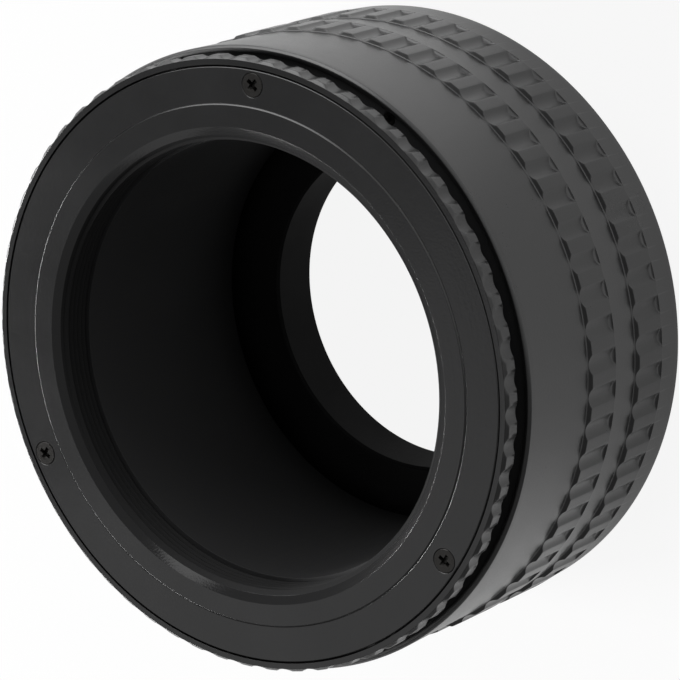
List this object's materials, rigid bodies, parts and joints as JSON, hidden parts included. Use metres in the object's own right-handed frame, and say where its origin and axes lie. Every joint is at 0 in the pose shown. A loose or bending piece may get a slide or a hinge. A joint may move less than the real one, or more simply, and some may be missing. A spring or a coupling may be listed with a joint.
{
  "type": "focusing_helicoid_adapter",
  "caption": "Focusing helicoid adapter for a lens: a black ring with a threaded front mount and a threaded rear stub, which grows longer when its fluted grip sleeve is turned",
  "frame": {"origin": "on the optical axis, at the plane of the rear seating flange where the male thread begins", "axes": "+Z along the optical axis to the front face; +X and +Y across the rings, with one front screw near +Y"},
  "size_m": [0.072, 0.072, 0.0408],
  "materials": {
    "anodised": "satin black anodised",
    "inner_black": "matt black anodised",
    "screw": "blackened steel",
    "brass": "bare, greased",
    "spring_steel": "bare spring steel"
  },
  "bodies": {
    "base": {"rear_mount": "anodised", "base_tube": "inner_black", "rear_screws": "screw"},
    "guide": {"guide_ring": "inner_black", "guide_bar_1": "brass", "guide_bar_2": "brass", "guide_bar_3": "brass", "guide_bar_screws": "screw", "thrust_washer": "brass", "snap_ring": "spring_steel"},
    "focus": {"grip_sleeve": "anodised", "drive_tube": "inner_black", "sleeve_screws": "screw"},
    "front": {"inner_barrel": "inner_black", "knurled_collar": "anodised", "front_thread_ring": "anodised", "clamp_plate": "anodised", "front_screws": "screw"}
  },
  "joints": [
    {"name": "guide_slide", "type": "slide", "parent": "base", "child": "guide", "axis": [0, 0, 1], "range_m": [0, 0.027]},
    {"name": "focus_turn", "type": "hinge", "parent": "guide", "child": "focus", "pos_m": [0, 0, 0.017], "axis": [0, 0, 1], "range_deg": [0, 540]},
    {"name": "barrel_slide", "type": "slide", "parent": "guide", "child": "front", "axis": [0, 0, 1], "range_m": [0, 0.027]}
  ],
  "couplings": [
    {"joint": "guide_slide", "follows": "focus_turn", "m_per_rad": 0.0028648},
    {"joint": "barrel_slide", "follows": "focus_turn", "m_per_rad": 0.0028648}
  ]
}
